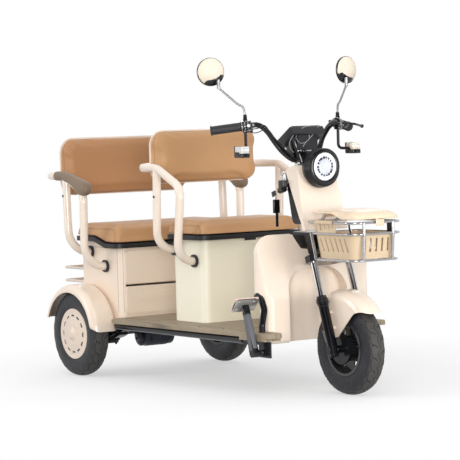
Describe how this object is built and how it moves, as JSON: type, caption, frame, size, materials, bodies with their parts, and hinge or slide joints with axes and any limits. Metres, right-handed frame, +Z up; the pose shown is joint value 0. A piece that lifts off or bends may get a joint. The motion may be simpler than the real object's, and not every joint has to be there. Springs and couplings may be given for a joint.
{
  "type": "electric passenger tricycle",
  "caption": "Open electric passenger tricycle with two seat rows, armrest hoops, foot deck, leg shield and a lidded front basket.",
  "frame": {"origin": "on the ground, under the middle of the overall length and width", "axes": "+X forward, +Y to the vehicle's left, +Z up"},
  "size_m": [1.9368, 0.8778, 1.3575],
  "materials": {
    "frame_black": "satin black paint",
    "cream_paint": "gloss pinkish cream",
    "ivory_box": "gloss ivory",
    "hoop_cream": "gloss cream paint",
    "deck": "plank-patterned floor covering",
    "tyre_rubber": "matt",
    "rim_cream": "satin cream",
    "rim_black": "gloss black",
    "chrome": "polished",
    "seat_leather": "caramel, fine grain",
    "trim_black": "satin",
    "grip_rubber": "ribbed",
    "lens_clear": "clear",
    "mirror": "mirror",
    "lamp_red": "dark red lens",
    "liner_beige": "satin beige",
    "lid_cream": "gloss peach cream",
    "arm_pad": "soft taupe",
    "motor_blue": "navy paint",
    "bright_bar": "pale paint",
    "pedal_metal": "worn steel"
  },
  "bodies": {
    "chassis": {"frame": "frame_black", "floor_board": "deck", "leg_shield": "cream_paint", "guards": "frame_black", "front_seat_box": "ivory_box", "rear_box": "cream_paint", "rear_panels": "cream_paint", "front_hoop": "hoop_cream", "rear_hoop": "hoop_cream", "grommets": "trim_black", "arm_pads": "arm_pad", "rear_fenders": "cream_paint", "rear_axle": "frame_black", "motor": "motor_blue", "leaf_springs": "frame_black", "bumper_bars": "bright_bar", "tail_lamps": "lamp_red", "brake_pedal": "pedal_metal", "back_pads": "seat_leather", "back_shells": "cream_paint"},
    "steering": {"steering_stem": "frame_black", "stanchions": "chrome", "lower_legs": "frame_black", "front_axle": "frame_black", "front_fender": "cream_paint", "head_shroud": "cream_paint", "head_cover": "trim_black", "headlight_bowl": "trim_black", "headlight_lens": "lens_clear", "handlebar": "frame_black", "grips": "grip_rubber", "controls": "trim_black", "mirrors": "trim_black", "mirror_glasses": "mirror", "dash_box": "trim_black", "indicators": "trim_black", "cables": "trim_black", "basket_liner": "liner_beige", "basket_frame": "chrome"},
    "front_wheel": {"front_tyre": "tyre_rubber", "front_rim": "rim_black"},
    "rear_wheel_right": {"rear_tyre_right": "tyre_rubber", "rear_rim_right": "rim_cream"},
    "rear_wheel_left": {"rear_tyre_left": "tyre_rubber", "rear_rim_left": "rim_cream"},
    "front_seat": {"front_seat_tray": "trim_black", "front_cushion": "seat_leather"},
    "rear_seat": {"rear_seat_tray": "trim_black", "rear_cushion": "seat_leather"},
    "basket_lid": {"basket_lid": "lid_cream"}
  },
  "joints": [
    {"name": "steer", "type": "hinge", "parent": "chassis", "child": "steering", "pos_m": [0.61435, 0, 0.52685], "axis": [-0.314, 0, 0.9494], "range_deg": [-35, 35]},
    {"name": "front_wheel_spin", "type": "hinge", "parent": "steering", "child": "front_wheel", "pos_m": [0.75825, 0, 0.186], "axis": [0, 1, 0], "continuous": true},
    {"name": "rear_wheel_right_spin", "type": "hinge", "parent": "chassis", "child": "rear_wheel_right", "pos_m": [-0.68175, -0.38, 0.186], "axis": [0, 1, 0], "continuous": true},
    {"name": "rear_wheel_left_spin", "type": "hinge", "parent": "chassis", "child": "rear_wheel_left", "pos_m": [-0.68175, 0.38, 0.186], "axis": [0, 1, 0], "continuous": true},
    {"name": "front_seat_tilt", "type": "hinge", "parent": "chassis", "child": "front_seat", "pos_m": [0.08285, 0, 0.6027], "axis": [0, 1, 0], "range_deg": [0, 80]},
    {"name": "rear_seat_tilt", "type": "hinge", "parent": "chassis", "child": "rear_seat", "pos_m": [-0.44915, 0, 0.5557], "axis": [0, 1, 0], "range_deg": [0, 80]},
    {"name": "basket_lid_tilt", "type": "hinge", "parent": "steering", "child": "basket_lid", "pos_m": [0.65625, 0, 0.714], "axis": [0, -1, 0], "range_deg": [0, 80]}
  ]
}
